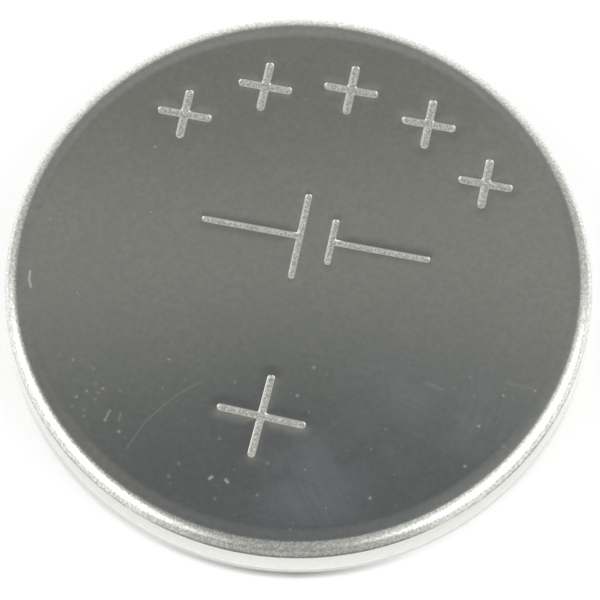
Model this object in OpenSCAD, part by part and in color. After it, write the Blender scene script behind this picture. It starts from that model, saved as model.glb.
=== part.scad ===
// Lithium coin cell, lying on its negative face with the positive face up.
// Two drawn steel cups are crimped together over a plastic seal, and between them
// lie the lithium disc, the separator, the cathode pellet and its collector.
// Every piece is turned about Z, and Z = 0 is the outside of the negative face.

/* [Cell] */
// Overall diameter
cell_d = 20; // [16:0.5:24.5]
// Overall height, from the negative face to the positive face
cell_h = 2.5; // [2.2:0.1:3.2]

/* [Positive can] */
// Thickness of the can's sheet
can_t = 0.25; // [0.2:0.01:0.3]
// Outside radius where the face turns into the wall
edge_r = 0.45; // [0.35:0.05:0.6]
// Width of the border in which the face rolls off and turns into the wall
border_w = 0.9; // [0.8:0.05:1.4]
// Radius of the gentle roll-off in that border
roll_r = 5; // [4:0.5:8]
// Outside radius of the crimp
crimp_r = 0.65; // [0.6:0.05:0.7]
// Straight length of the crimped lip
lip_l = 0.75; // [0.6:0.05:0.85]
// Angle by which the lip is pressed into the seal
lip_tilt = 5; // [3:1:6]

/* [Negative cap] */
// Thickness of the cap's sheet
cap_t = 0.25; // [0.2:0.01:0.27]
// How far the negative face stands proud of the crimp
cap_proud = 0.12; // [0.1:0.01:0.15]
// Inside radius of the cap's bends
bend_r = 0.1; // [0.08:0.01:0.12]

/* [Seal] */
// Thickness of the seal's wall, between the can and the cap's skirt
seal_t = 0.4; // [0.3:0.05:0.5]
// Thickness left where the lip squeezes the seal on the shoulder
squeeze_t = 0.15; // [0.12:0.01:0.2]
// Thickness of the seal's foot, between the skirt's end and the can's floor
foot_t = 0.3; // [0.2:0.05:0.4]
// Thickness of the inner wall that holds the skirt's end
hook_t = 0.3; // [0.2:0.05:0.4]
// Height of that inner wall, from the foot
hook_h = 0.5; // [0.3:0.05:0.6]
// Width of the seal's bead, which shows in the crimp's mouth
bead_w = 0.35; // [0.2:0.05:0.5]
// Gap between that bead and the side of the negative face
bead_gap = 0.14; // [0.13:0.01:0.18]

/* [Electrodes] */
// Gap round the lithium disc, in the cap's well
lithium_gap = 0.2; // [0.15:0.05:0.4]
// How far the lithium disc stands above the shoulder's inside
lithium_proud = 0.03; // [0.02:0.01:0.1]
// Thickness of the separator
separator_t = 0.15; // [0.1:0.01:0.2]
// Height of the separator's turned-up rim
separator_rim_h = 0.5; // [0.3:0.05:0.6]
// Gap between the pellet and the seal, where the electrolyte stands
pellet_gap = 0.8; // [0.6:0.05:1.2]
// Width of the chamfer round both edges of the pellet
pellet_chamfer = 0.1; // [0.05:0.01:0.15]

/* [Collector] */
// Thickness of the expanded sheet
mesh_t = 0.1; // [0.08:0.01:0.15]
// Width of its strands
strand_w = 0.24; // [0.2:0.02:0.3]
// Spacing of its openings along a row
mesh_pitch = 2; // [1.8:0.1:2.4]
// Spacing of its rows
row_pitch = 0.85; // [0.8:0.05:1]
// Gap between the collector's edge and the pellet's edge
mesh_margin = 0.4; // [0.3:0.05:0.6]

/* [Hidden] */
$fn = 96;
// Clearance at each curved face that seats on another piece
fit = 0.01;
// Chords in each rounded corner
corner_steps = 8;
// Chords in the gentle roll-off
roll_steps = 6;
// Corner radius of the plastic's free edges
plastic_r = 0.06;

// Radii of the can
can_r = cell_d / 2;
can_in_r = can_r - can_t;
flat_r = can_r - border_w;
corner_in_r = edge_r - can_t;
// Height of the can's floor, which is the underside of the positive face
floor_z = cell_h - can_t;
// Centres of the roll-off, of the edge tangent to it, and of the corner inside
roll_c = [flat_r, cell_h - roll_r];
edge_c = [can_r - edge_r, roll_c.y + sqrt(pow(roll_r - edge_r, 2) - pow(can_r - edge_r - flat_r, 2))];
corner_c = [can_r - edge_r, floor_z - corner_in_r];
// Slope at which the roll-off meets the edge
roll_a = asin((edge_c.x - roll_c.x) / (roll_r - edge_r));
// Centre of the crimp, and the direction in which the lip runs from it
crimp_c = [can_r - crimp_r, cap_proud + crimp_r];
crimp_in_r = crimp_r - can_t;
lip_a = -90 - lip_tilt;
lip_run = lip_l * [-cos(lip_tilt), sin(lip_tilt)];
lip_out = polar(crimp_c, crimp_r, lip_a) + lip_run;
lip_in = polar(crimp_c, crimp_in_r, lip_a) + lip_run;

// Radii and heights of the cap, whose face fits inside the seal's bead
bend_out_r = bend_r + cap_t;
skirt_r = can_in_r - seal_t;
skirt_in_r = skirt_r - cap_t;
bead_out_r = lip_out.x - fit;
bead_in_r = bead_out_r - bead_w;
step_r = bead_in_r - bead_gap;
shoulder_z = lip_in.y + squeeze_t;
skirt_end_z = floor_z - foot_t;
// Centres of its three bends: round the face, at the shoulder's root, at the skirt
face_c = [step_r - bend_out_r, bend_out_r];
root_c = [step_r + bend_r, shoulder_z - bend_r];
skirt_c = [skirt_r - bend_out_r, shoulder_z + bend_out_r];

// Radii and heights of the seal
seal_out_r = can_in_r - fit;
seal_corner_r = corner_in_r + plastic_r;
hook_out_r = skirt_in_r - fit;
hook_in_r = hook_out_r - hook_t;
bead_z = lip_out.y + can_t / 2;

// The stack between the two cups
lithium_r = step_r - cap_t - lithium_gap;
separator_z = shoulder_z + cap_t + lithium_proud;
pellet_r = hook_in_r - pellet_gap;
pellet_z = separator_z + separator_t;
mesh_z = floor_z - mesh_t;
mesh_r = pellet_r - mesh_margin;

// A point at radius r and angle a from a centre
function polar(c, r, a) = c + r * [cos(a), sin(a)];

// Points along an arc about a centre, from one angle to another
function arc(c, r, from, to, steps = corner_steps) =
    [for (i = [0 : steps]) polar(c, r, from + (to - from) * i / steps)];

// Section of the can: the outside from the axis to the lip, and the inside back again
function can_section() = concat(
    [[0, cell_h]],
    arc(roll_c, roll_r, 90, 90 - roll_a, roll_steps),
    arc(edge_c, edge_r, 90 - roll_a, 0),
    arc(crimp_c, crimp_r, 0, lip_a),
    [lip_out, lip_in],
    arc(crimp_c, crimp_in_r, lip_a, 0),
    arc(corner_c, corner_in_r, 0, 90),
    [[0, floor_z]]
);

// Section of the cap: the outside from the axis to the skirt's end, and the inside back
function cap_section() = concat(
    [[0, 0]],
    arc(face_c, bend_out_r, -90, 0),
    arc(root_c, bend_r, 180, 90),
    arc(skirt_c, bend_out_r, -90, 0),
    [[skirt_r, skirt_end_z], [skirt_in_r, skirt_end_z]],
    arc(skirt_c, bend_r, 0, -90),
    arc(root_c, bend_out_r, 90, 180),
    arc(face_c, bend_r, 0, -90),
    [[0, cap_t]]
);

// Section of the seal: up its outside, round the foot and the groove for the skirt's
// end, down along the skirt, under the shoulder, and round the bead in the crimp's mouth
function seal_section() = concat(
    [[hook_in_r, floor_z]],
    arc([seal_out_r - seal_corner_r, floor_z - seal_corner_r], seal_corner_r, 90, 0),
    arc(crimp_c, crimp_in_r - fit, 0, lip_a),
    [[bead_out_r, lip_in.y + fit]],
    arc([bead_out_r - plastic_r, bead_z + plastic_r], plastic_r, 0, -90),
    arc([bead_in_r + plastic_r, bead_z + plastic_r], plastic_r, -90, -180),
    [[bead_in_r, shoulder_z - fit]],
    arc(skirt_c, bend_out_r + fit, -90, 0),
    [[skirt_r + fit, skirt_end_z], [hook_out_r, skirt_end_z]],
    arc([hook_out_r - plastic_r, skirt_end_z - hook_h + plastic_r], plastic_r, 0, -90),
    arc([hook_in_r + plastic_r, skirt_end_z - hook_h + plastic_r], plastic_r, -90, -180)
);

// A section in radius and height, turned about Z
module turned(section) {
    rotate_extrude() polygon(section);
}

// A flat disc that stands on height z
module disc(r, t, z) {
    translate([0, 0, z]) cylinder(r = r, h = t);
}

// Positive terminal: a drawn cup whose rim is curled in over the seal
module positive_can() {
    color("lightslategray") turned(can_section());
}

// Negative terminal: a drawn cap with a stepped shoulder and a skirt
module negative_cap() {
    color("silver") turned(cap_section());
}

// Moulded ring that seals and insulates the two cups, hooked round the skirt's end
module sealing_gasket() {
    color("whitesmoke") turned(seal_section());
}

// Lithium disc pressed into the cap's well
module lithium_anode() {
    color("gainsboro") disc(lithium_r, separator_z - cap_t, cap_t);
}

// Non-woven sheet over the lithium, with its rim turned up round the pellet
module separator() {
    rim_r = pellet_r + fit;
    color("white") difference() {
        disc(rim_r + separator_t, separator_t + separator_rim_h, separator_z);
        disc(rim_r, separator_rim_h + separator_t, pellet_z);
    }
}

// Pressed pellet of the active powder, which fills the height that is left
module cathode_pellet() {
    color("dimgray") turned([
        [0, pellet_z],
        [pellet_r - pellet_chamfer, pellet_z],
        [pellet_r, pellet_z + pellet_chamfer],
        [pellet_r, mesh_z - pellet_chamfer],
        [pellet_r - pellet_chamfer, mesh_z],
        [0, mesh_z]
    ]);
}

// One diamond opening of the expanded sheet
module opening() {
    half_w = mesh_pitch / 2 - strand_w;
    half_h = row_pitch - strand_w;
    polygon([[half_w, 0], [0, half_h], [-half_w, 0], [0, -half_h]]);
}

// Expanded metal disc between the pellet and the can's floor, with a plain rim:
// an opening is cut only where the whole of it fits inside the rim
module collector_mesh() {
    rows = floor(mesh_r / row_pitch);
    columns = floor(mesh_r / mesh_pitch);
    reach = mesh_r - strand_w;
    color("darkgray") translate([0, 0, mesh_z]) linear_extrude(mesh_t) difference() {
        circle(r = mesh_r);
        for (row = [-rows : rows], column = [-columns : columns]) {
            shift = row % 2 == 0 ? 0 : mesh_pitch / 2;
            place = [column * mesh_pitch + shift, row * row_pitch];
            far_x = abs(place.x) + mesh_pitch / 2 - strand_w;
            far_y = abs(place.y) + row_pitch - strand_w;
            if (norm([far_x, place.y]) < reach && norm([place.x, far_y]) < reach)
                translate(place) opening();
        }
    }
}

positive_can();
negative_cap();
sealing_gasket();
lithium_anode();
separator();
cathode_pellet();
collector_mesh();
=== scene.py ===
# %% [markdown]
# # A lithium coin cell
# A coin cell is two drawn steel cups, one inside the other, with a plastic ring crimped
# between them. What makes it look real is not its shape, which is nearly a plain disc, but
# what its mirror faces show, how the drawn edge breaks the light into grain, and the
# stamped signs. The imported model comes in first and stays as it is: it says where every
# piece lies and how big it is.

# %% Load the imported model
import bmesh
import bpy
import numpy as np
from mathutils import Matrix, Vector
from mathutils.geometry import delaunay_2d_cdt


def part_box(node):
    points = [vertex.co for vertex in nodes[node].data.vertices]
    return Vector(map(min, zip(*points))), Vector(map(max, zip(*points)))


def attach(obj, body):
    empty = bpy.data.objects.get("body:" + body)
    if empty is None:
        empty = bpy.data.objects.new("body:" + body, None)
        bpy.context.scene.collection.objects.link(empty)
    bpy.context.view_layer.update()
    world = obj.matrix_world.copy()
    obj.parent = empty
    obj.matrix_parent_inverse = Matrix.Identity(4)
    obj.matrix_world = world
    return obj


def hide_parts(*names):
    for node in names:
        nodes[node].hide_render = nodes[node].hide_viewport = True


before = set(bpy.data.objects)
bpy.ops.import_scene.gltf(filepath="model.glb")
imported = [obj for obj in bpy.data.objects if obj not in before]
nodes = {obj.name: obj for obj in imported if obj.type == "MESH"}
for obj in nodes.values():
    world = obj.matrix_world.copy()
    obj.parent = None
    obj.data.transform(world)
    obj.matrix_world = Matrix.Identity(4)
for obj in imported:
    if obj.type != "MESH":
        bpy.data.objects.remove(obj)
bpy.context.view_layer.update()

print("pieces in the packed model:", ", ".join(sorted(nodes)))

# %% [markdown]
# ## Sizes
# Everything below is worked out in millimetres, because the sheet is a quarter of one
# thick, and is turned into Blender's metres only when a mesh is made. The outside sizes
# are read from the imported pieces. The sheet thickness and the bend radii can't be read
# from a box, so they are named here as the cups were drawn.

# %% Sizes of the cell, in millimetres
MM = 0.001
CELL_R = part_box("positive_can")[1].x / MM
CELL_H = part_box("positive_can")[1].z / MM
CRIMP_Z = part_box("positive_can")[0].z / MM
SKIRT_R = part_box("negative_cap")[1].x / MM
SKIRT_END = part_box("negative_cap")[1].z / MM
SEAL_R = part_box("sealing_gasket")[1].x / MM

SHEET = 0.25          # both cups are drawn from the same sheet
BORDER = 0.9          # border of the face, in which it rolls off and turns down
EDGE_R = 0.45         # outside radius of the can's edge
ROLL_R = 5.0          # radius of the gentle roll-off before that edge
CRIMP_R = 0.65        # outside radius of the crimp
LIP = 0.75            # straight length of the crimped lip
LIP_TILT = 5.0        # angle by which the lip bites into the seal, in degrees
BEND = 0.1            # inside radius of the cap's bends
FIT = 0.01            # clearance between the seal and the steel
SQUEEZE = 0.15        # seal left between the lip and the cap's shoulder
HOOK = (0.3, 0.5)     # thickness and height of the seal's inner wall
BEAD = (0.35, 0.14)   # width of the seal's bead, and the gap inside it
SOFT_R = 0.06         # corner radius of the plastic's free edges

FACE_R = CELL_R - BORDER
FLOOR_Z = CELL_H - SHEET
TURNS = 288           # steps round the axis: a multiple of 4, so the box stays exact
print(f"cell {2 * CELL_R:.2f} x {CELL_H:.2f} mm, crimp {CRIMP_Z:.2f} mm above the floor")

# %% [markdown]
# ## Meshes from arrays
# Blender can spin a profile with a modifier or an operator, and both would do here. The
# surfaces are worked out with numpy instead, because then a section is a short list of
# arcs and lines, the same ones as in a drawing of the cell, and no seam is left to chance.
# A section is a closed outline in radius and height. Its shoelace area tells which way
# it runs, so that the faces always point out of the metal.

# %% Arcs, sections and meshes
def polar(centre, radius, angle):
    """The centre plus the radius turned to an angle in degrees."""
    angle = np.radians(angle)
    return np.asarray(centre) + radius * np.stack([np.cos(angle), np.sin(angle)], axis=-1)


def arc(centre, radius, start, end, steps=20):
    """Points on a circle from one angle to another."""
    return polar(centre, radius, np.linspace(start, end, steps + 1))


def line(start, end, steps=1):
    """Points on a straight line, its last point left to what follows."""
    share = np.linspace(0, 1, steps, endpoint=False)[:, None]
    return (1 - share) * np.asarray(start) + share * np.asarray(end)


def grid_faces(rows, columns, closed_rows=False):
    """Four-cornered faces of a grid whose columns wrap round, and whose rows may."""
    upper = np.arange(rows if closed_rows else rows - 1)
    lower = (upper + 1) % rows
    left = np.arange(columns)
    right = (left + 1) % columns
    corners = [(upper, left), (lower, left), (lower, right), (upper, right)]
    return np.stack([r[:, None] * columns + c[None, :] for r, c in corners], axis=-1).reshape(-1, 4)


def turned(section, closed=False):
    """A section turned about Z: the point (r, z) at turn t goes to (r cos t, r sin t, z)."""
    turn = np.linspace(0, 2 * np.pi, TURNS, endpoint=False)
    r, z = section[:, :1], section[:, 1:]
    points = np.stack([r * np.cos(turn), r * np.sin(turn), np.broadcast_to(z, (len(z), TURNS))], axis=-1)
    return points.reshape(-1, 3), grid_faces(len(section), TURNS, closed)


def clockwise(section):
    """The section in the order that makes a turned surface face outwards."""
    r, z = section.T
    area = np.sum(r * np.roll(z, -1) - np.roll(r, -1) * z)
    return section if area < 0 else section[::-1]


def join(*surfaces):
    """Several lists of points and faces as one."""
    shift = np.cumsum([0] + [len(points) for points, _ in surfaces])
    points = np.concatenate([points for points, _ in surfaces])
    faces = [face for (_, group), first in zip(surfaces, shift) for face in (group + first).tolist()]
    return points, faces


def piece(name, points, faces, replaced, material_slot):
    """A mesh object in metres, its seams and poles welded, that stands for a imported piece."""
    mesh = bpy.data.meshes.new(name)
    mesh.from_pydata((np.asarray(points) * MM).tolist(), [], [list(face) for face in faces])
    welded = bmesh.new()
    welded.from_mesh(mesh)
    bmesh.ops.remove_doubles(welded, verts=welded.verts, dist=1e-4 * MM)
    welded.to_mesh(mesh)
    open_edges = sum(not edge.is_manifold for edge in welded.edges)
    welded.free()
    mesh.polygons.foreach_set("use_smooth", np.ones(len(mesh.polygons), dtype=bool))
    made = bpy.data.objects.new(name, mesh)
    bpy.context.scene.collection.objects.link(made)
    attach(made, "root")
    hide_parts(replaced)
    mesh.calc_loop_triangles()
    print(f"{name}: {len(mesh.loop_triangles)} triangles, {open_edges} open edges")
    return made

# %% [markdown]
# ## The sections of the three outer pieces
# The can's face is flat, then rolls off over the last half millimetre, turns down round
# the edge, and is curled in at the bottom over the seal. The cap is a drawn cup with a
# step, so that the lip presses the seal onto its shoulder. The seal fills what is left
# between them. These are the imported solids' own sections, with enough steps in each arc
# that a mirror finish shows no corners.

# %% The can's section, from the edge of the flat face to the middle of its floor
roll_centre = np.array([FACE_R, CELL_H - ROLL_R])
edge_x = CELL_R - EDGE_R
edge_rise = np.sqrt((ROLL_R - EDGE_R) ** 2 - (edge_x - FACE_R) ** 2)
edge_centre = np.array([edge_x, roll_centre[1] + edge_rise])
roll_angle = np.degrees(np.arcsin((edge_x - FACE_R) / (ROLL_R - EDGE_R)))
corner_centre = np.array([edge_x, FLOOR_Z - (EDGE_R - SHEET)])
crimp_centre = np.array([CELL_R - CRIMP_R, CRIMP_Z + CRIMP_R])
lip_run = LIP * np.array([-np.cos(np.radians(LIP_TILT)), np.sin(np.radians(LIP_TILT))])
lip_out = polar(crimp_centre, CRIMP_R, -90 - LIP_TILT) + lip_run
lip_in = polar(crimp_centre, CRIMP_R - SHEET, -90 - LIP_TILT) + lip_run
CUT_R = 0.02          # the sheared rim of a sheet is never quite sharp


def soft_end(start, end):
    """The sheared end of a sheet: a flat with both of its corners taken off."""
    across = (end - start) / np.linalg.norm(end - start)
    along = np.array([across[1], -across[0]])
    if along @ lip_run < 0:
        along = -along
    return np.array([start - CUT_R * along, start + CUT_R * across,
                     end - CUT_R * across, end - CUT_R * along])


can_section = np.concatenate([
    arc(roll_centre, ROLL_R, 90, 90 - roll_angle, 12)[:-1],
    arc(edge_centre, EDGE_R, 90 - roll_angle, 0, 28),
    line(edge_centre + [EDGE_R, 0], crimp_centre + [CRIMP_R, 0], 6)[1:],
    arc(crimp_centre, CRIMP_R, 0, -90 - LIP_TILT, 28),
    soft_end(lip_out, lip_in),
    arc(crimp_centre, CRIMP_R - SHEET, -90 - LIP_TILT, 0, 16),
    arc(corner_centre, EDGE_R - SHEET, 0, 90, 10),
    [[0, FLOOR_Z]],
])
print(f"can: {len(can_section)} points, edge turns at {roll_angle:.1f} degrees")

# %% The cap's section
BEND_OUT = BEND + SHEET
bead_out = lip_out[0] - FIT
bead_in = bead_out - BEAD[0]
step_r = bead_in - BEAD[1]
shoulder_z = lip_in[1] + SQUEEZE
face_c = (step_r - BEND_OUT, BEND_OUT)
root_c = (step_r + BEND, shoulder_z - BEND)
skirt_c = (SKIRT_R - BEND_OUT, shoulder_z + BEND_OUT)

cap_section = np.concatenate([
    [[0, 0], [face_c[0] - CUT_R, 0]],
    arc(face_c, BEND_OUT, -90, 0),
    arc(root_c, BEND, 180, 90),
    arc(skirt_c, BEND_OUT, -90, 0),
    [[SKIRT_R, SKIRT_END - CUT_R], [SKIRT_R - CUT_R, SKIRT_END]],
    [[SKIRT_R - SHEET + CUT_R, SKIRT_END], [SKIRT_R - SHEET, SKIRT_END - CUT_R]],
    arc(skirt_c, BEND, 0, -90, 10),
    arc(root_c, BEND_OUT, 90, 180),
    arc(face_c, BEND, 0, -90, 10),
    [[face_c[0] - CUT_R, SHEET], [0, SHEET]],
])
print(f"cap: flat face {2 * face_c[0]:.1f} mm across, shoulder at {shoulder_z:.2f} mm")

# %% The seal's section
hook_out = SKIRT_R - SHEET - FIT
hook_in = hook_out - HOOK[0]
hook_z = SKIRT_END - HOOK[1]
bead_z = lip_out[1] + SHEET / 2
seal_corner = EDGE_R - SHEET + SOFT_R

seal_section = np.concatenate([
    [[hook_in, FLOOR_Z]],
    arc((SEAL_R - seal_corner, FLOOR_Z - seal_corner), seal_corner, 90, 0, 10),
    arc(crimp_centre, CRIMP_R - SHEET - FIT, 0, -90 - LIP_TILT),
    [[bead_out, lip_in[1] + FIT]],
    arc((bead_out - SOFT_R, bead_z + SOFT_R), SOFT_R, 0, -90, 8),
    arc((bead_in + SOFT_R, bead_z + SOFT_R), SOFT_R, -90, -180, 8),
    [[bead_in, shoulder_z - FIT]],
    arc(skirt_c, BEND_OUT + FIT, -90, 0),
    [[SKIRT_R + FIT, SKIRT_END], [hook_out, SKIRT_END]],
    arc((hook_out - SOFT_R, hook_z + SOFT_R), SOFT_R, 0, -90, 8),
    arc((hook_in + SOFT_R, hook_z + SOFT_R), SOFT_R, -90, -180, 8),
])
print(f"seal: bead {BEAD[0]:.2f} mm wide between the cap and the lip")

# %% [markdown]
# ## Stamped signs
# The signs are struck into the face with a punch: a groove with a flat, frosted floor,
# steep walls, and a face that is drawn down a little round it, which the mirror finish
# betrays as a soft dark and light haze. A cutter and a Boolean would leave ragged triangles
# round the grooves. So each sign is a grid: one parameter runs round its outline, the
# other is the distance from that outline, and the height is a function of the distance.
# The outline of straight strokes with round ends that meet at a hub is found by formula
# for any distance, so the same function makes the walls, the haze outside and the floor,
# which closes on the strokes' own centre lines.

# %% The outline of a sign at a given distance
CAP_STEPS = 14        # steps round the end of a stroke
SIDE_STEPS = 10       # steps along the side of a stroke


def sign_outline(hub, strokes, reach):
    """The outline of strokes from a hub, each an (angle, length), at a reach from their
    centre lines. Round each end it is half a circle. Between two neighbouring strokes it
    turns at the point on their bisector where both sides lie at that reach."""
    angles = np.array([angle for angle, _ in strokes], dtype=float)
    gaps = (np.roll(angles, -1) - angles) % 360
    corners = polar(hub, 0, angles) + (reach / np.sin(np.radians(gaps / 2)))[:, None] * polar(
        (0, 0), 1, angles + gaps / 2)
    outline = []
    for index, (angle, length) in enumerate(strokes):
        end = arc(polar(hub, length, angle), reach, angle - 90, angle + 90, CAP_STEPS)
        outline += [line(corners[index - 1], end[0], SIDE_STEPS), end,
                    line(end[-1], corners[index], SIDE_STEPS)[1:]]
    return np.concatenate(outline)


CROSS = np.array([0, 90, 180, 270])
print("points round a cross:", len(sign_outline(np.zeros(2), [(angle, 1.0) for angle in CROSS], 0.1)))

# %% [markdown]
# The signs themselves: the polarity cross at the foot of the face, and generic signs
# where a cell carries its printing, an arc of small crosses and the circuit symbol of a
# cell, a long and a short plate with their leads.

# %% Where the signs are, in millimetres on the face
DEPTH = 0.05          # depth of the grooves
DISH = 0.0038         # how far the face is drawn down at their rim
DISH_W = 0.40         # how far out that reaches
WALL_W = 0.055        # width of the sloping wall


def cross(centre, arm, width, turned_by=0.0):
    """A cross of four equal strokes."""
    return np.array(centre), [(angle, arm) for angle in CROSS + turned_by], width / 2


ROW_R = 7.3           # radius of the arc of small crosses
ROW_ANGLES = 87 + 23.5 * np.arange(-2, 3)
PLATE_GAP = 1.1       # distance between the two plates of the symbol
SYMBOL = np.array([0.3, 1.5])
plate_left = SYMBOL - [PLATE_GAP / 2, 0]
plate_right = SYMBOL + [PLATE_GAP / 2, 0]

signs = [cross((-0.21, -5.24), 1.40, 0.26, -2.0)]
signs += [cross(polar((0, 0), ROW_R, angle), 0.8, 0.29) for angle in ROW_ANGLES]
signs += [
    (plate_left, [(90, 1.5), (180, 3.3), (270, 1.5)], 0.115),
    (plate_right, [(0, 3.3), (90, 0.75), (270, 0.75)], 0.115),
]
print(len(signs), "signs on the face")

# %% The levels of a groove, and its grid
outside = np.array([1.04, 1.0, 0.85, 0.7, 0.55, 0.4, 0.27, 0.16, 0.08, 0.03]) * DISH_W
wall = -WALL_W * np.linspace(0, 1, 8)
rim = DISH * (1 - np.clip(outside / DISH_W, 0, 1)) ** 2
blend = np.linspace(0, 1, 8)
struck = DISH + DEPTH * blend ** 2 * (3 - 2 * blend)


def stamped(hub, strokes, half):
    """A groove as a grid: its rows are outlines at falling distances, its heights a
    square law in the drawn-down rim and a smooth step in the wall."""
    distance = np.concatenate([outside, wall, [-half * 0.8, -half]])
    depth = np.concatenate([rim, struck, [struck[-1]] * 2])
    rows = [sign_outline(hub, strokes, max(half + step, 0.0)) for step in distance]
    heights = [np.full((len(row), 1), CELL_H - down) for row, down in zip(rows, depth)]
    points = np.concatenate([np.hstack(pair) for pair in zip(rows, heights)])
    return points, grid_faces(len(rows), len(rows[0]))[:, ::-1], rows[0]


grooves = [stamped(*sign) for sign in signs]
print("faces in the grooves:", sum(len(faces) for _, faces, _ in grooves))

# %% [markdown]
# ## The flat face between the signs
# What is left is a flat disc with holes. A constrained Delaunay triangulation fills it
# without moving a point of its borders. A triangle belongs to the metal when its middle
# lies outside every groove, which the winding of the outlines tells.

# %% Fill the flat of the face
def inside(outline, points):
    """Which points lie in a closed outline, by counting the sides that a ray crosses."""
    a, b = outline, np.roll(outline, -1, axis=0)
    x, y = points[:, None, 0], points[:, None, 1]
    spans = (a[:, 1] > y) != (b[:, 1] > y)
    rise = np.where(b[:, 1] == a[:, 1], 1e-12, b[:, 1] - a[:, 1])
    crossing = a[:, 0] + (y - a[:, 1]) / rise * (b[:, 0] - a[:, 0])
    return np.sum(spans & (x < crossing), axis=1) % 2 == 1


GUARD = 0.03          # a narrow flat ring, which keeps the roll-off's shading to itself
SEED_STEP = 0.55      # spacing of the loose points in the flat
turn = np.linspace(0, 360, TURNS, endpoint=False)
border = polar((0, 0), FACE_R - GUARD, turn)
loops = [border] + [outline for _, _, outline in grooves]
steps = np.arange(-FACE_R, FACE_R, SEED_STEP)
seeds = np.stack(np.meshgrid(steps, steps), axis=-1).reshape(-1, 2)
seeds = seeds[np.linalg.norm(seeds, axis=1) < FACE_R - SEED_STEP]
for outline in loops[1:]:
    nearest = np.linalg.norm(seeds[:, None] - outline[None], axis=2).min(axis=1)
    seeds = seeds[~inside(outline, seeds) & (nearest > SEED_STEP / 3)]

flat = np.concatenate(loops + [seeds])
first = np.cumsum([0] + [len(loop) for loop in loops])
sides = [(int(start + i), int(start + (i + 1) % len(loop)))
         for start, loop in zip(first, loops) for i in range(len(loop))]
points, _, triangles, *_ = delaunay_2d_cdt([Vector(p) for p in flat], sides, [], 0, 1e-7)
points = np.array([tuple(p) for p in points])
triangles = np.array([list(t) for t in triangles])
middles = points[triangles].mean(axis=1)
keep = inside(border, middles)
for outline in loops[1:]:
    keep &= ~inside(outline, middles)
triangles = triangles[keep]
a, b, c = (points[triangles[:, i]] for i in range(3))
upside_down = np.cross(b - a, c - a) < 0
triangles[upside_down] = triangles[upside_down][:, ::-1]
flat_face = (np.column_stack([points, np.full(len(points), CELL_H)]), triangles)
print("triangles in the flat:", len(triangles))

# %% Make the three outer pieces
guard_ring = np.array([[FACE_R - GUARD, CELL_H]])
can_shell = turned(np.concatenate([guard_ring, can_section]))
can = piece("stamped_can", *join(can_shell, flat_face, *[(p, f) for p, f, _ in grooves]),
            "positive_can", "can_steel")
cap = piece("drawn_cap", *turned(clockwise(cap_section)), "negative_cap", "cap_steel")
seal = piece("moulded_seal", *turned(clockwise(seal_section), closed=True),
             "sealing_gasket", "seal_plastic")

# %% [markdown]
# ## Helpers for materials
# A material is a graph of nodes, and a graph written line by line is hard to read. Small
# helpers let it be written like a formula: a value that is another node's output is
# linked, and any other value is set on the socket.

# %% Node helpers
def put(tree, socket, value):
    """Link a socket to another node's output, or set its plain value."""
    if isinstance(value, bpy.types.NodeSocket):
        tree.links.new(value, socket)
    else:
        socket.default_value = value


def add(tree, kind, inputs=None, **settings):
    """A node with its settings and its inputs, by name or by number."""
    made = tree.nodes.new(kind)
    for name, value in settings.items():
        setattr(made, name, value)
    for name, value in (inputs or {}).items():
        put(tree, made.inputs[name], value)
    return made


def maths(tree, operation, *values, clamp=False):
    """One step of arithmetic."""
    made = add(tree, "ShaderNodeMath", dict(enumerate(values)), operation=operation, use_clamp=clamp)
    return made.outputs[0]


def times(tree, first, *others):
    """The product of two or more values."""
    for other in others:
        first = maths(tree, "MULTIPLY", first, other)
    return first


def vectors(tree, operation, *values, output=0, **named):
    """One step of vector arithmetic."""
    made = add(tree, "ShaderNodeVectorMath", {**dict(enumerate(values)), **named}, operation=operation)
    return made.outputs[output]


def dot(tree, first, second):
    """The dot product of two vectors."""
    return vectors(tree, "DOT_PRODUCT", first, second, output="Value")


def ramp(tree, value, low, high, start=0.0, end=1.0, smooth=True):
    """A value carried from one range into another, held at both ends."""
    kind = "SMOOTHSTEP" if smooth else "LINEAR"
    inputs = {"Value": value, "From Min": low, "From Max": high, "To Min": start, "To Max": end}
    return add(tree, "ShaderNodeMapRange", inputs, interpolation_type=kind).outputs[0]


def mixed(tree, share, first, second):
    """Two colours blended by a share."""
    made = add(tree, "ShaderNodeMix", data_type="RGBA")
    put(tree, made.inputs["Factor"], share)
    put(tree, made.inputs[6], first)
    put(tree, made.inputs[7], second)
    return made.outputs[2]


def stops(tree, value, levels):
    """A value looked up in (value, level) stops, with straight lines between them. Each
    level is a grey or a colour."""
    low, high = levels[0][0], levels[-1][0]
    made = add(tree, "ShaderNodeValToRGB", {"Fac": ramp(tree, value, low, high, smooth=False)})
    elements = made.color_ramp.elements
    for index, (at, level) in enumerate(levels):
        share = (at - low) / (high - low)
        element = elements[0] if index == 0 else elements[-1] if at == high else elements.new(share)
        element.position, element.color = share, (*(np.ones(3) * level), 1)
    return made.outputs["Color"]


def noise(tree, place, scale, detail=2.0, roughness=0.5, distortion=0.0):
    """Blender's noise at a scale in features a millimetre."""
    inputs = {"Vector": place, "Scale": scale, "Detail": detail,
              "Roughness": roughness, "Distortion": distortion}
    return add(tree, "ShaderNodeTexNoise", inputs).outputs["Fac"]


def bump(tree, height, size, normal=None):
    """Relief of a real size in micrometres, on top of an earlier normal."""
    inputs = {"Height": height, "Distance": size * 1e-6, "Strength": 1.0}
    if normal is not None:
        inputs["Normal"] = normal
    return add(tree, "ShaderNodeBump", inputs).outputs[0]


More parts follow.
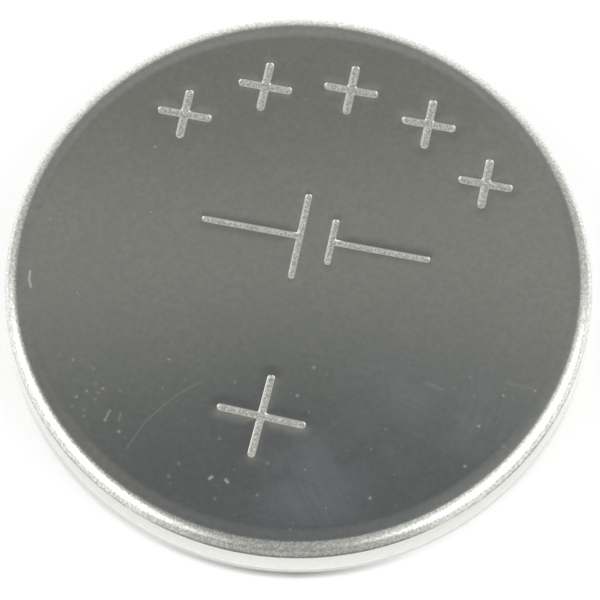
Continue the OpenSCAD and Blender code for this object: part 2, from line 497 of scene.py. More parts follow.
def group(name, inputs, outputs):
    """An empty shader node group with named sockets, and its two end nodes."""
    tree = bpy.data.node_groups.new(name, "ShaderNodeTree")
    for socket, kind in inputs.items():
        tree.interface.new_socket(name=socket, in_out="INPUT", socket_type=kind)
    for socket, kind in outputs.items():
        tree.interface.new_socket(name=socket, in_out="OUTPUT", socket_type=kind)
    return tree, tree.nodes.new("NodeGroupInput").outputs, tree.nodes.new("NodeGroupOutput").inputs


def use(tree, shared, **inputs):
    """A shared group placed in a material with its own values."""
    made = tree.nodes.new("ShaderNodeGroup")
    made.node_tree = shared
    for name, value in inputs.items():
        put(tree, made.inputs[name.replace("_", " ")], value)
    return made.outputs


FLOAT, VECTOR = "NodeSocketFloat", "NodeSocketVector"
print("helpers ready")

# %% [markdown]
# ## Shared effects
# Four effects are used again and again, so each is a node group with its own sockets. The
# first gives the place on a turned piece: its radius, its height and its vector in
# millimetres. The second is the orange-peel grain that drawing leaves where the sheet has
# stretched, and it also serves for frost, powder and the pebble of a mould. The third is
# one nick or scratch from a start to an end. The last is a swirl of hairlines, which lie
# on circles round a centre: the rings of a punch on the cap, and on the can fine scratches lit in arcs
# round a highlight.

# %% Place on a turned piece
PLACE, sent, out = group("turned place", {}, {"Vector": VECTOR, "Radius": FLOAT, "Height": FLOAT})
coordinates = add(PLACE, "ShaderNodeTexCoord").outputs["Object"]
in_mm = vectors(PLACE, "SCALE", coordinates, Scale=1 / MM)
split = add(PLACE, "ShaderNodeSeparateXYZ", {0: in_mm}).outputs
flat_place = add(PLACE, "ShaderNodeCombineXYZ", {0: split[0], 1: split[1]}).outputs[0]
put(PLACE, out["Vector"], in_mm)
put(PLACE, out["Radius"], vectors(PLACE, "LENGTH", flat_place, output="Value"))
put(PLACE, out["Height"], split[2])
print(PLACE.name, "ready")

# %% Grain of stretched sheet
GRAIN, sent, out = group("drawn grain", {"Vector": VECTOR, "Scale": FLOAT},
                         {"Height": FLOAT, "Sparkle": FLOAT})
peel = noise(GRAIN, sent["Vector"], sent["Scale"], detail=4.0, roughness=0.68)
put(GRAIN, out["Height"], peel)
put(GRAIN, out["Sparkle"], ramp(GRAIN, peel, 0.40, 0.64))
print(GRAIN.name, "ready")

# %% One nick or scratch
NICK, sent, out = group("nick", {"Vector": VECTOR, "Start": VECTOR, "End": VECTOR, "Width": FLOAT},
                        {"Mask": FLOAT})
# The distance from a straight scratch: the place is carried back to the nearest point
# between its start and its end, and the length of what is left is measured. A mark
# without length would divide by nothing, so a little is added.
run = vectors(NICK, "SUBTRACT", sent["End"], sent["Start"])
away = vectors(NICK, "SUBTRACT", sent["Vector"], sent["Start"])
length_squared = maths(NICK, "ADD", dot(NICK, run, run), 1e-6)
share = maths(NICK, "DIVIDE", dot(NICK, away, run), length_squared, clamp=True)
nearest = vectors(NICK, "SCALE", run, Scale=share)
distance = vectors(NICK, "LENGTH", vectors(NICK, "SUBTRACT", away, nearest), output="Value")
put(NICK, out["Mask"], ramp(NICK, distance, sent["Width"], 0.0))
print(NICK.name, "ready")

# %% Swirl of polishing marks
settings = {"Vector": VECTOR, "Centre": VECTOR, "Spacing": FLOAT, "Along": FLOAT}
SWIRL, sent, out = group("polishing swirl", settings, {"Streaks": FLOAT})
# Noise of the distance from the centre alone would give whole rings. A slow change from place
# to place, which has no seam and no pole, breaks them into streaks.
away = vectors(SWIRL, "SUBTRACT", sent["Vector"], sent["Centre"])
away = vectors(SWIRL, "MULTIPLY", away, (1.0, 1.0, 0.0))
rings = maths(SWIRL, "DIVIDE", vectors(SWIRL, "LENGTH", away, output="Value"), sent["Spacing"])
slow = vectors(SWIRL, "SCALE", away, Scale=sent["Along"])
stacked = add(SWIRL, "ShaderNodeCombineXYZ", {2: rings}).outputs[0]
round_place = vectors(SWIRL, "ADD", slow, stacked)
put(SWIRL, out["Streaks"], noise(SWIRL, round_place, 1.0, detail=3.0, roughness=0.6))
print(SWIRL.name, "ready")

# %% A blank material with its shader
def blank(name, **sockets):
    """A new material, its Principled shader with plain values, and its tree."""
    material = bpy.data.materials.new(name)
    material.use_nodes = True
    tree = material.node_tree
    shader = tree.nodes["Principled BSDF"]
    for socket, value in sockets.items():
        shader.inputs[socket.replace("_", " ")].default_value = value
    return material, tree, shader.inputs


def dress(target, material):
    """Give a piece its one material."""
    target.data.materials.clear()
    target.data.materials.append(material)
    print(f"{target.name}: {material.name}")


print("a material starts blank and ends on its piece")

# %% [markdown]
# ## The can's steel
# Rolled stainless sheet keeps its mirror where the tool didn't stretch it. The flat of the
# face is nearly a mirror, under a thin film, with the nicks and specks of handling, some
# dust, and arcs of fine scratches round a highlight, whose bluish shine is painted into the
# colour. Round the edge the sheet has stretched and its grains stand up, so the highlight
# breaks into sparkle, down to a crease below which the ironing die has wiped the wall
# smooth. Above the crease the colour is painted darker, partly for brown specks and partly
# as painted shade, and the wall is painted darker towards the top as painted shade. The
# floors of the grooves are frosted by the punch. One material holds all of this, because it
# is one sheet, and it tells the zones apart by the radius and the height on the piece.

# %% Handling marks on the face, in millimetres
SCRATCH = [(-4.39, -7.30), (-3.98, -6.23), (-3.43, -5.42), (-3.11, -5.02), (-2.44, -4.44)]
NOTCH = [(-8.98, -1.61), (-8.94, -1.93), (-8.83, -2.16)]
STREAKS = [((-5.31, -6.41), (-5.22, -6.06), 0.45), ((-4.85, -6.33), (-4.85, -6.07), 0.25),
           ((5.01, -2.97), (5.58, -3.11), 0.2), ((6.14, 3.48), (6.57, 3.42), 0.25)]
DENTS = [((-1.44, -7.79), (-1.38, -7.71)), ((-0.91, -7.73), (-0.83, -7.79))]
SMEAR = ((7.67, -2.39), (8.62, -2.53))
SPECKS = [(-3.68, -3.85), (-7.24, -2.08), (-6.84, -4.50), (-6.14, -5.52), (-6.43, -5.79), (-5.63, -5.32),
          (-4.76, -6.74), (-5.31, -6.42), (-8.74, 0.43), (-5.42, 1.37), (-5.81, 3.81), (7.60, -2.91),
          (7.00, -4.16), (6.81, -5.67), (8.62, -2.52), (3.93, -7.41), (1.17, -3.17), (0.83, -4.28)]
FAINT = [(-6.45, -1.88), (-6.70, -3.39), (-6.37, -3.32), (-6.20, -3.15), (-7.29, -4.39), (-6.09, -4.68),
         (-5.88, -5.21), (-5.75, -5.50), (-5.80, -5.75), (-6.50, -6.15), (-6.07, -6.21), (-6.03, -6.42),
         (-5.04, -5.30), (-7.96, -4.13), (-1.41, -6.32), (-1.32, -4.21), (0.34, -6.86), (0.24, -8.04),
         (1.55, -9.04), (-2.56, -7.47), (-2.79, -7.98), (-1.12, -8.45), (7.95, -4.70), (6.39, -2.48)]
# Each kind of mark has a half width and a strength, and each streak has its own strength
SCRATCH_LOOK, NOTCH_LOOK = (0.045, 0.22), (0.105, 0.70)
DENT_LOOK, SMEAR_LOOK = (0.10, 0.62), (0.16, 0.16)
SPECK_LOOK, FAINT_LOOK = (0.105, 0.50), (0.105, 0.30)
STREAK_W = 0.075
marks = [(a, b, *SCRATCH_LOOK) for a, b in zip(SCRATCH, SCRATCH[1:])]
marks += [(a, b, *NOTCH_LOOK) for a, b in zip(NOTCH, NOTCH[1:])]
marks += [(a, b, STREAK_W, strength) for a, b, strength in STREAKS]
marks += [(a, b, *DENT_LOOK) for a, b in DENTS] + [(*SMEAR, *SMEAR_LOOK)]
print(len(marks), "marks from handling")

# %% [markdown]
# ### Zones
# A zone is a share between 0 and 1, found from the place alone: how far out it lies and
# how high. On a real edge no zone ends along a ruled line, so the height that decides it
# wavers by a few hundredths of a millimetre.

# %% The can's zones
can_steel, tree, shader = blank("rolled stainless, stamped", Metallic=1.0)
place = use(tree, PLACE)
vector, radius, height = place["Vector"], place["Radius"], place["Height"]

groove_floor = CELL_H - DISH - DEPTH
SOFT = 0.05                           # step in which the face's finish ends, outwards and down
on_face = times(tree, ramp(tree, radius, FACE_R, FACE_R - 2 * SOFT),
                ramp(tree, height, groove_floor - 2 * SOFT, groove_floor - SOFT))

WALL_TOP = edge_centre[1]             # the die has wiped the wall smooth below this height
WAVER = 0.03                          # how far the end of the grain wavers
WEAR_AND_SHADE = 0.20                           # how high above it the grain is worn, and painted darker as shade
wavering = ramp(tree, noise(tree, vector, 6.0, 3.0), 0.3, 0.7, -WAVER, WAVER)
ragged = maths(tree, "ADD", height, wavering)
edge = times(tree, ramp(tree, radius, edge_x - 0.03, edge_x + 0.06),
             ramp(tree, ragged, WALL_TOP - 0.02, WALL_TOP + 0.03))
worn_and_shaded = times(tree, edge, ramp(tree, ragged, WALL_TOP + WEAR_AND_SHADE, WALL_TOP + 0.02))

grooved = times(tree, on_face, ramp(tree, height, CELL_H - DISH, CELL_H - DISH - 0.3 * DEPTH))
near_floor = ramp(tree, height, groove_floor + 0.25 * DEPTH, groove_floor + 0.02 * DEPTH)
on_floor = times(tree, on_face, near_floor)
on_wall = maths(tree, "SUBTRACT", grooved, on_floor)
print("zones: edge, worn edge, groove walls and groove floors")

# %% The marks as one mask
marked = 0.0
for start, end, width, strength in marks:
    ends = {"Start": (*start, CELL_H), "End": (*end, CELL_H)}
    mask = use(tree, NICK, Vector=vector, Width=width, **ends)["Mask"]
    marked = maths(tree, "MAXIMUM", marked, times(tree, mask, strength))
# A speck needs only the distance from one point
for spots, (width, strength) in [(SPECKS, SPECK_LOOK), (FAINT, FAINT_LOOK)]:
    for spot in spots:
        distance = vectors(tree, "DISTANCE", vector, (*spot, CELL_H), output="Value")
        marked = maths(tree, "MAXIMUM", marked, ramp(tree, distance, width, 0.0, 0.0, strength))
print(len(marks), "marks and", len(SPECKS + FAINT), "specks in the mask")

# %% [markdown]
# ### Dust and lit scratch arcs
# Dust is a pattern of cells, of which only some hold a grain, and only in drifts. An arc of
# scratches is a part of a swirl that fades out round its own middle, round a highlight. It
# holds a haze in patches, and hairlines that catch the light, whose bluish shine is painted
# into the colour.

# %% Dust, a few grains to a square millimetre, in drifts
DUST_SCALE, DUST_R = 3.0, 0.17        # cells to a millimetre, and a grain's reach in those cells
DUST_STRENGTH = 0.42
dust_inputs = {"Vector": vector, "Scale": DUST_SCALE, "Randomness": 1.0}
cells = add(tree, "ShaderNodeTexVoronoi", dust_inputs).outputs
lot = add(tree, "ShaderNodeSeparateColor", {0: cells["Color"]}).outputs[0]
chosen = ramp(tree, lot, 0.15, 0.90)
drifts = ramp(tree, noise(tree, vector, 0.30, 2.0), 0.34, 0.56)
dust = times(tree, ramp(tree, cells["Distance"], DUST_R, 0.0), chosen, drifts, on_face)
marked = maths(tree, "MAXIMUM", marked, times(tree, dust, DUST_STRENGTH))
print("dust ready")

# %% Arcs of scratches round a highlight, with a painted bluish shine
# Each arc is the middle of its circles, its own middle, its reach, the circles' spacing, the
# streaks to a millimetre of arc, and its strength
SCRATCH_ARCS = [((3.10, -10.81), (4.25, -3.95), 3.0, 0.085, 0.40, 0.8),
         ((8.83, -2.77), (1.95, -7.35), 2.9, 0.15, 0.35, 1.0),
         ((2.80, -2.94), (6.80, -3.60), 2.3, 0.10, 0.50, 0.9)]
patches = ramp(tree, noise(tree, vector, 0.7, 3.0), 0.34, 0.58)
haze_and_blue_sheen, hairlines = 0.0, 0.0
for arc_middle, middle, reach, spacing, along, strength in SCRATCH_ARCS:
    swirl = use(tree, SWIRL, Vector=vector, Centre=(*arc_middle, 0.0), Spacing=spacing, Along=along)
    distance = vectors(tree, "DISTANCE", vector, (*middle, CELL_H), output="Value")
    scratch_arc = times(tree, ramp(tree, distance, reach, 0.2 * reach), strength, on_face)
    lines = times(tree, scratch_arc, ramp(tree, swirl["Streaks"], 0.36, 0.66))
    haze_and_blue_sheen = maths(tree, "MAXIMUM", haze_and_blue_sheen, times(tree, scratch_arc, patches))
    hairlines = maths(tree, "MAXIMUM", hairlines, lines)
print(len(SCRATCH_ARCS), "wipes")

# %% [markdown]
# ### Colour, roughness and relief
# Now the zones choose. The colour is laid on in layers, as paint would be. Roughness and
# relief are sums, to which each zone adds its part.

# %% The can's colour
FINE, FROST = 11.0, 14.0              # scale of the grain round the edge and in the grooves
smudge = noise(tree, vector, 0.45, 8.0, 0.72)
film = noise(tree, vector, 4.5, 5.0, 0.72)
fine = use(tree, GRAIN, Vector=vector, Scale=FINE)
frost = use(tree, GRAIN, Vector=vector, Scale=FROST)

steel = mixed(tree, ramp(tree, smudge, 0.3, 0.7), (0.715, 0.715, 0.67, 1), (0.77, 0.765, 0.72, 1))
filmed = mixed(tree, smudge, (0.64, 0.665, 0.605, 1), (0.645, 0.655, 0.67, 1))
grains = mixed(tree, fine["Sparkle"], (0.60, 0.595, 0.55, 1), (0.93, 0.93, 0.89, 1))
# Above the crease the grain is painted darker brown: partly brown specks, partly painted shade where the
# edge mirrors the dark horizon
grains = mixed(tree, times(tree, worn_and_shaded, 0.55), grains, (0.46, 0.44, 0.37, 1))
frosted = mixed(tree, frost["Sparkle"], (0.45, 0.45, 0.41, 1), (0.84, 0.84, 0.79, 1))

WALL_FOOT = 0.9       # from here up to the edge the wall's colour is painted darker, as shade
# Painted shade: the side wall is darker from its foot up to the edge, where it mirrors paper farther off
wall_shade = times(tree, ramp(tree, radius, edge_x + 0.2, CELL_R - 0.01),
                ramp(tree, height, WALL_FOOT, WALL_TOP, smooth=False))
shaded_wall = mixed(tree, edge, (0.60, 0.60, 0.55, 1), grains)

# What lies over the plain steel, each as a share and a colour, the last one on top
for share, colour in [
    (ramp(tree, film, 0.36, 0.64, 0.0, 0.8), filmed),
    # Painted reflection: the haze's bluish tint and the hairlines' bright blue are the shine of a bluish
    # light in the scratches, laid into the colour
    (times(tree, haze_and_blue_sheen, 0.5), (0.645, 0.67, 0.71, 1)),
    (times(tree, hairlines, 0.42), (0.80, 0.83, 0.90, 1)),
    (edge, grains),
    (on_floor, frosted),
    (on_wall, (0.62, 0.62, 0.575, 1)),
    (wall_shade, shaded_wall),
    (marked, (0.92, 0.92, 0.89, 1)),
]:
    steel = mixed(tree, share, steel, colour)
put(tree, shader["Base Color"], steel)
print("colour ready")

# %% The can's roughness
MIRROR_ROUGH, SMUDGE_ROUGH = 0.07, 0.03
rough = maths(tree, "ADD", MIRROR_ROUGH, times(tree, smudge, SMUDGE_ROUGH))
for zone, more in [(edge, 0.20), (worn_and_shaded, -0.12), (on_floor, 0.38), (on_wall, 0.46),
                   (haze_and_blue_sheen, 0.05), (marked, 0.40)]:
    rough = maths(tree, "ADD", rough, times(tree, zone, more))
put(tree, shader["Roughness"], rough)
print("roughness ready")

# %% The can's relief, in micrometres
# The grain stands high on the near left of the edge, and low on the far right
HIGH_SIDE = (-0.6, -0.8, 0.0)
GRAIN_RISE = (1.6, 6.0)               # far from that side and near it
FROST_RISE = 14.0
grain_rise = ramp(tree, dot(tree, vector, HIGH_SIDE), -6.0, 7.0, *GRAIN_RISE)
relief = times(tree, fine["Height"], edge, grain_rise)
relief = maths(tree, "ADD", relief, times(tree, frost["Height"], on_floor, FROST_RISE))

# The ironing die leaves a crease where the round edge meets the wall, and at the foot of
# the wall the sheet begins to turn in before the crimp does. Both are a square law
CREASE, CREASE_RISE = 50.0, 122.0     # tilt at which the round stops, and its relief
crease_top = WALL_TOP + EDGE_R * np.cos(np.radians(CREASE))
round_end = ramp(tree, height, crease_top, WALL_TOP, smooth=False)
relief = maths(tree, "ADD", relief, times(tree, round_end, round_end, CREASE_RISE))
TUCK_TOP, TUCK_END, TUCK_RISE = 1.12, 0.65, 100.0
tucked = ramp(tree, height, TUCK_TOP, TUCK_END, smooth=False)
relief = maths(tree, "SUBTRACT", relief, times(tree, tucked, tucked, TUCK_RISE))
put(tree, shader["Normal"], bump(tree, relief, 1.0))
dress(can, can_steel)

# %% [markdown]
# ## The cap's steel
# The cap is the same sheet, but it is left satin: fine rings from the drawing punch, and
# hairlines where it has slid in a holder.

# %% The cap's material
cap_steel, tree, shader = blank("satin stainless", Metallic=1.0)
place = use(tree, PLACE)
rings = use(tree, SWIRL, Vector=place["Vector"], Centre=(0.0, 0.0, 0.0), Spacing=0.05, Along=0.3)
brushed = add(tree, "ShaderNodeMapping", {"Vector": place["Vector"], "Scale": (0.6, 14.0, 0.6)}).outputs[0]
hairlines = noise(tree, brushed, 1.0, 4.0, 0.6)
smudge = noise(tree, place["Vector"], 0.3, 3.0)
put(tree, shader["Base Color"], mixed(tree, smudge, (0.60, 0.60, 0.58, 1), (0.68, 0.675, 0.66, 1)))
rough = maths(tree, "ADD", 0.22, times(tree, rings["Streaks"], 0.12))
put(tree, shader["Roughness"], maths(tree, "ADD", rough, times(tree, smudge, 0.06)))
normal = bump(tree, rings["Streaks"], 1.2)
put(tree, shader["Normal"], bump(tree, hairlines, 0.8, normal))
dress(cap, cap_steel)

# %% [markdown]
# ## The seal's plastic
# Natural polypropylene is milky: light goes a little way in and comes out again, which a
# small share of subsurface scattering gives. Its surface has the soft pebble of the mould.

# %% The seal's material
seal_plastic, tree, shader = blank("milky polypropylene", Metallic=0.0, Subsurface_Weight=0.25,
                                   Subsurface_Scale=0.0003, IOR=1.49)
place = use(tree, PLACE)
cloud = noise(tree, place["Vector"], 1.2, 3.0)
put(tree, shader["Base Color"], mixed(tree, cloud, (0.70, 0.70, 0.65, 1), (0.80, 0.80, 0.76, 1)))
put(tree, shader["Roughness"], ramp(tree, cloud, 0.3, 0.7, 0.38, 0.5))
pebble = use(tree, GRAIN, Vector=place["Vector"], Scale=10.0)
put(tree, shader["Normal"], bump(tree, pebble["Height"], 3.0))
dress(seal, seal_plastic)

# %% [markdown]
# ## The stack inside
# These pieces are shut in and never seen while the cell is whole, but each has its own
# finish, for when it is taken apart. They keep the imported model's meshes.

# %% The lithium disc
lithium, tree, shader = blank("rolled lithium", Metallic=1.0)
place = use(tree, PLACE)
rolled = add(tree, "ShaderNodeMapping", {"Vector": place["Vector"], "Scale": (0.4, 6.0, 1.0)}).outputs[0]
lines = noise(tree, rolled, 1.0, 4.0, 0.6)
tarnish = ramp(tree, noise(tree, place["Vector"], 0.5, 4.0, 0.6), 0.45, 0.7)
put(tree, shader["Base Color"], mixed(tree, tarnish, (0.66, 0.66, 0.65, 1), (0.40, 0.39, 0.37, 1)))
put(tree, shader["Roughness"], ramp(tree, lines, 0.3, 0.7, 0.34, 0.52))
put(tree, shader["Normal"], bump(tree, lines, 3.0))
dress(nodes["lithium_anode"], lithium)

# %% The separator sheet
felt, tree, shader = blank("non-woven sheet", Metallic=0.0, Sheen_Weight=0.2)
place = use(tree, PLACE)
fibres = noise(tree, place["Vector"], 9.0, 4.0, 0.7, 2.5)
clumps = noise(tree, place["Vector"], 1.5, 3.0)
put(tree, shader["Base Color"], mixed(tree, clumps, (0.78, 0.78, 0.75, 1), (0.88, 0.88, 0.86, 1)))
put(tree, shader["Roughness"], ramp(tree, fibres, 0.3, 0.7, 0.8, 0.95))
put(tree, shader["Normal"], bump(tree, fibres, 18.0))
dress(nodes["separator"], felt)

# %% The cathode pellet
powder, tree, shader = blank("pressed powder", Metallic=0.0)
place = use(tree, PLACE)
grit = use(tree, GRAIN, Vector=place["Vector"], Scale=9.0)
black = mixed(tree, grit["Sparkle"], (0.018, 0.018, 0.019, 1), (0.07, 0.07, 0.072, 1))
put(tree, shader["Base Color"], black)
put(tree, shader["Roughness"], ramp(tree, grit["Sparkle"], 0.0, 1.0, 0.85, 0.55))
put(tree, shader["Normal"], bump(tree, grit["Height"], 12.0))
dress(nodes["cathode_pellet"], powder)

# %% The collector mesh
expanded, tree, shader = blank("expanded stainless", Metallic=1.0)
place = use(tree, PLACE)
pulled = use(tree, GRAIN, Vector=place["Vector"], Scale=7.0)
dull = mixed(tree, pulled["Sparkle"], (0.50, 0.50, 0.48, 1), (0.62, 0.62, 0.60, 1))
put(tree, shader["Base Color"], dull)
put(tree, shader["Roughness"], ramp(tree, pulled["Sparkle"], 0.0, 1.0, 0.45, 0.3))
put(tree, shader["Normal"], bump(tree, pulled["Height"], 6.0))
dress(nodes["collector_mesh"], expanded)

# %% [markdown]
# ## The camera
# The cell is seen from high up through a long lens. The camera stands at a distance from
# the middle of the face, in a direction given by the turn of the signs and the height of
# the view, and points a little nearer to itself, which sets the cell in the frame.

# %% Camera
AZIMUTH, ELEVATION = np.radians(11.5), np.radians(66.13)
DISTANCE = 150.0
LENS = 265.0
toward = np.array([np.sin(AZIMUTH), -np.cos(AZIMUTH), 0.0])
rightward = np.array([np.cos(AZIMUTH), np.sin(AZIMUTH), 0.0])
upward = np.array([0.0, 0.0, 1.0])
face_centre = np.array([0.0, 0.0, CELL_H])
eye = face_centre + DISTANCE * (np.cos(ELEVATION) * toward + np.sin(ELEVATION) * upward)
AIM = (0.86, 0.05)    # how far the aim lies nearer, and to the right
aim = face_centre + AIM[0] * toward + AIM[1] * rightward

camera = bpy.data.objects.new("camera", bpy.data.cameras.new("camera"))
camera.data.lens = LENS
camera.data.clip_start, camera.data.clip_end = 0.01, 10.0
camera.location = Vector(eye * MM)
camera.rotation_mode = "QUATERNION"
camera.rotation_quaternion = Vector((aim - eye) * MM).to_track_quat("-Z", "Y")
bpy.context.scene.collection.objects.link(camera)
bpy.context.scene.camera = camera
print("camera at", np.round(eye, 1), "mm")

# %% [markdown]
# ## The studio
# A mirror shows its room, so the room is the larger part of a metal's look. White paper
# lies under the cell, with a painted shadow in the gap where the crimp lifts off it. Two
# large soft panels stand to the left and the right in front of it and light up its edge. The
# rest is a grey dome with a pale far wall and two windows. The part of the dome that the face
# mirrors to the camera goes from grey at the far rim over a lighter band to a darker grey
# near the camera.

# %% Floor
FLOOR_SIZE = 4.0
half = FLOOR_SIZE / 2
sheet = bpy.data.meshes.new("paper")
corners = [(-half, -half, 0), (half, -half, 0), (half, half, 0), (-half, half, 0)]
sheet.from_pydata(corners, [], [(0, 1, 2, 3)])
paper = bpy.data.objects.new("paper", sheet)
bpy.context.scene.collection.objects.link(paper)

PAPER_GLOW = 0.50     # what the paper adds for the camera and for mirrors
MIRROR_GAIN = 1.22    # how much more of it the mirrors get
CONTACT = 0.4 * MM    # reach of the painted shadow under the crimp
# How dark the painted shadow in that gap is, by the turn round the cell from the right (0) past the viewer
# (90)
GAP_SHADOW = [(-180, 0.5), (20, 0.4), (48, 0.05), (66, 0.1), (90, 1.0), (100, 0.85), (122, 0.35), (180, 0.5)]
white = bpy.data.materials.new("white paper")
white.use_nodes = True
tree = white.node_tree
tree.nodes.clear()
rays = add(tree, "ShaderNodeLightPath").outputs
mirrored = maths(tree, "MAXIMUM", rays["Is Glossy Ray"], rays["Is Transmission Ray"])
seen = maths(tree, "MAXIMUM", rays["Is Camera Ray"], times(tree, mirrored, MIRROR_GAIN))
open_sky = add(tree, "ShaderNodeAmbientOcclusion", {"Distance": CONTACT}, samples=6).outputs["AO"]
spot = add(tree, "ShaderNodeTexCoord").outputs["Object"]
nearer, aside = dot(tree, spot, tuple(toward)), dot(tree, spot, tuple(rightward))
turn_round = maths(tree, "DEGREES", maths(tree, "ARCTAN2", nearer, aside))
# Painted shadow: the ambient occlusion and the turn round the cell darken the paper's colour and take away
# its glow next to the crimp
shade = times(tree, ramp(tree, open_sky, 0.80, 0.62), stops(tree, turn_round, GAP_SHADOW))
shadowed_paper_colour = mixed(tree, shade, (0.60, 0.60, 0.60, 1), (0.34, 0.33, 0.31, 1))
matt = add(tree, "ShaderNodeBsdfDiffuse", {"Color": shadowed_paper_colour})
lift = times(tree, maths(tree, "SUBTRACT", 1.0, shade), PAPER_GLOW)
glow = add(tree, "ShaderNodeEmission", {"Color": (1, 1, 1, 1), "Strength": times(tree, seen, lift)})
both = add(tree, "ShaderNodeAddShader", {0: matt.outputs[0], 1: glow.outputs[0]})
add(tree, "ShaderNodeOutputMaterial", {"Surface": both.outputs[0]})
sheet.materials.append(white)
print(f"paper {FLOOR_SIZE:.0f} m square")

# %% Two soft panels
PANEL_LIFT = np.radians(33)           # how high each stands over the paper
PANEL_AWAY, PANEL_DEPTH = 0.45, 0.40  # how far off it stands and its height, in metres
RADIANCE = 1.12                       # what a mirror shows of it


def panel(name, turn, width):
    """A rectangular lamp aimed at the cell, at a turn from the viewer to the right. A flat
    lamp's power is pi times its area times its radiance."""
    turn = np.radians(turn)
    level = np.cos(turn) * toward + np.sin(turn) * rightward
    spot = PANEL_AWAY * (np.cos(PANEL_LIFT) * level + np.sin(PANEL_LIFT) * upward)
    lamp = bpy.data.lights.new(name, "AREA")
    lamp.shape, lamp.size, lamp.size_y = "RECTANGLE", width, PANEL_DEPTH
    lamp.energy = np.pi * width * PANEL_DEPTH * RADIANCE
    made = bpy.data.objects.new(name, lamp)
    made.location = Vector(spot)
    made.rotation_mode = "QUATERNION"
    made.rotation_quaternion = Vector(-spot).to_track_quat("-Z", "Y")
    bpy.context.scene.collection.objects.link(made)
    print(f"{name}: {lamp.energy:.2f} W")


panel("panel_right", 67, 0.56)
panel("panel_left", -72, 0.60)

# %% [markdown]
# ### The room in the mirror
# The turned edge shows nearly the whole room in a rim less than a millimetre wide, and the
# flat face shows only a small part of it. So the room is laid out by what mirrors it: for
# each direction, the tilt and the turn of the facet of metal that shows it to the camera.
# Its walls are then lists of levels by tilt, and each list holds for a range of turns.

# %% The grey dome
world = bpy.data.worlds.new("studio")
bpy.context.scene.world = world
world.use_nodes = True
tree = world.node_tree
tree.nodes.clear()
direction = add(tree, "ShaderNodeTexCoord").outputs["Generated"]
front, side, up = (dot(tree, direction, tuple(axis)) for axis in (toward, rightward, upward))

# Each direction of the room is named by the facet that mirrors it to the camera: how far that
# facet is tilted, and to which side it is turned, from the right (0) past the viewer (90)
to_camera = tuple(np.cos(ELEVATION) * toward + np.sin(ELEVATION) * upward)
facet = vectors(tree, "NORMALIZE", vectors(tree, "ADD", direction, to_camera))
facet_up, facet_front, facet_side = (dot(tree, facet, tuple(axis)) for axis in (upward, toward, rightward))
tilt = maths(tree, "DEGREES", maths(tree, "ARCCOSINE", facet_up))
turned_to = maths(tree, "DEGREES", maths(tree, "ARCTAN2", facet_front, facet_side))
print("directions named by their facets")

# %% The walls of the room and its two windows
# Each part of the room has its levels as stops (tilt, level)
WARM, COOL = np.array([1.0, 1.0, 0.945]), np.array([0.93, 1.0, 1.04])
SIDES = [(4.5, 0.28), (7.1, 0.27), (7.8, 0.35), (21.5, 0.46), (41, 0.61)]
VIEWER = [(4.5, 0.195 * COOL), (7.1, 0.18), (8.5, 0.23), (21.5, 0.33), (36, 0.37), (48, 0.32)]
FAR = [(4.5, 0.32), (6.0, 0.29), (7.3, 0.28), (8.2, 0.50), (21.5, 0.97), (39, 1.24)]
RIGHT = [(4.5, 0.25 * COOL), (7.1, 0.26), (7.8, 1.0), (17.5, 1.4), (43, 1.4), (48, 0.4)]
LEFT = [(4.5, 0.225), (7.1, 0.215), (7.8, 0.28), (11, 0.42), (26.5, 1.4), (43, 1.4), (48, 0.4)]
# All but the sides, with the four turns at which each begins, is whole, is whole no more and ends
PARTS = [(VIEWER, (15, 55, 125, 165)), (FAR, (-172, -132, -48, -8)),
         (RIGHT, (-4, 37, 42, 84)), (LEFT, (108, 138, 153, 177))]

room = stops(tree, tilt, SIDES)
for levels, (begin, whole, no_more, end) in PARTS:
    share = times(tree, ramp(tree, turned_to, end, no_more), ramp(tree, turned_to, begin, whole))
    room = mixed(tree, share, room, stops(tree, tilt, levels))
print(len(PARTS), "parts of the room")

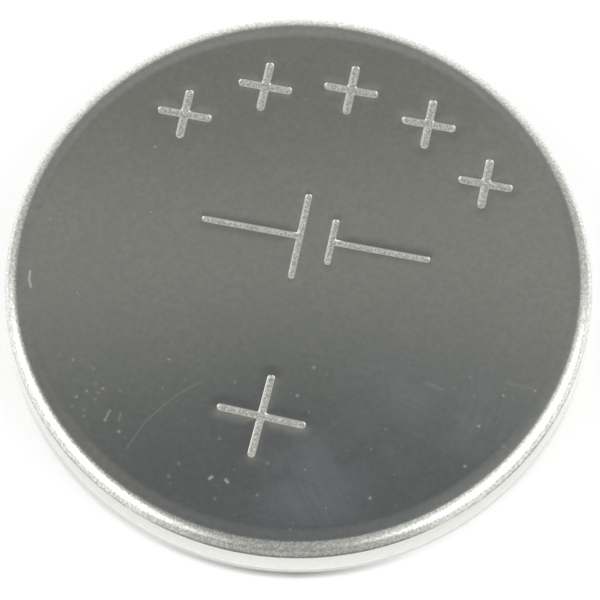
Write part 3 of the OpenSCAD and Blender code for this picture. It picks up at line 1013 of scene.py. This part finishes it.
# %% The part that the face mirrors
# By its rise from the far horizon and its turn aside. It is a paler band between two darker
# ones, and it widens to both sides, more so to the right: by the turn squared times a
# number that grows with the turn
BAND = [(61.5, 0.30), (63.0, 0.215), (63.9, 0.212), (64.6, 0.245), (65.2, 0.295), (65.8, 0.312),
        (66.35, 0.285), (67.0, 0.220), (67.7, 0.150), (68.9, 0.132), (70.8, 0.175), (76.0, 0.185)]
PEAK = 65.8                           # rise of the band's middle, from which it widens
WIDEST = 5.0                          # turn at which it stops widening
WIDEN, WIDEN_RIGHT = 0.055, 0.007     # the number, and its growth for a degree to the right
COOLS = (66.3, 67.8)                  # rise between which its warm grey turns cool
CORNER_GREY = (0.21, 0.21, 0.205, 1)  # far aside and high up, where it ends
rise = maths(tree, "DEGREES", maths(tree, "ARCTAN2", up, times(tree, front, -1.0)))
aside = maths(tree, "DEGREES", side)
held = maths(tree, "MINIMUM", maths(tree, "MAXIMUM", aside, -WIDEST), WIDEST)
growth = maths(tree, "ADD", WIDEN, times(tree, held, WIDEN_RIGHT))
widening = maths(tree, "ADD", 1.0, times(tree, held, held, growth))
from_peak = maths(tree, "DIVIDE", maths(tree, "SUBTRACT", rise, PEAK), widening)
at_corner = times(tree, ramp(tree, maths(tree, "ABSOLUTE", aside), 2.0, 4.2), ramp(tree, rise, 68.0, 69.6))

cooling = {at: np.interp(at, COOLS, [0, 1]) for at, _ in BAND}
greys = [(at, level * ((1 - cooling[at]) * WARM + cooling[at] * COOL)) for at, level in BAND]
band = stops(tree, maths(tree, "ADD", PEAK, from_peak), greys)
band = mixed(tree, at_corner, band, CORNER_GREY)
print("band from", BAND[0][0], "to", BAND[-1][0], "degrees")

# %% The dome's light
FACE_TILTS = (5.2, 1.7)               # tilt at which the band begins, and at which it is whole
lit = mixed(tree, ramp(tree, tilt, *FACE_TILTS), room, band)
rays = add(tree, "ShaderNodeLightPath").outputs
seen = mixed(tree, rays["Is Camera Ray"], lit, (1, 1, 1, 1))
sky = add(tree, "ShaderNodeBackground", {"Color": seen, "Strength": 1.0})
add(tree, "ShaderNodeOutputWorld", {"Surface": sky.outputs[0]})
print("dome ready")

# %% Colours as they are written
bpy.context.scene.view_settings.view_transform = "Standard"
print("view transform:", bpy.context.scene.view_settings.view_transform)
